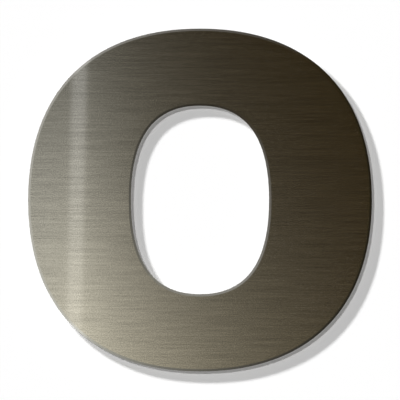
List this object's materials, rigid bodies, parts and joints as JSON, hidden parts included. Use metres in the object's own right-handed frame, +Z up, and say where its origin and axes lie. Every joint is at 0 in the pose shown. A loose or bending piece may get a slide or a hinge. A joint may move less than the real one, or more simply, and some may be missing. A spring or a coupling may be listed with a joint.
{
  "type": "self-adhesive house letter",
  "caption": "Capital letter O cut from brushed stainless steel plate, with bevelled front edges and a foam tape ring on its back that sticks it to a door or wall.",
  "frame": {"origin": "middle of the letter, on the tape face that meets the wall", "axes": "+X to the reader's right, +Y out of the back into the wall, +Z up the letter"},
  "size_m": [0.0752, 0.0038, 0.075],
  "materials": {
    "brushed_steel": "brushed lengthwise across the letter, with brighter bevels",
    "foam_tape": "matt closed-cell foam with a tacky film"
  },
  "bodies": {
    "root": {"letter_plate": "brushed_steel", "adhesive_pad": "foam_tape"}
  },
  "joints": []
}
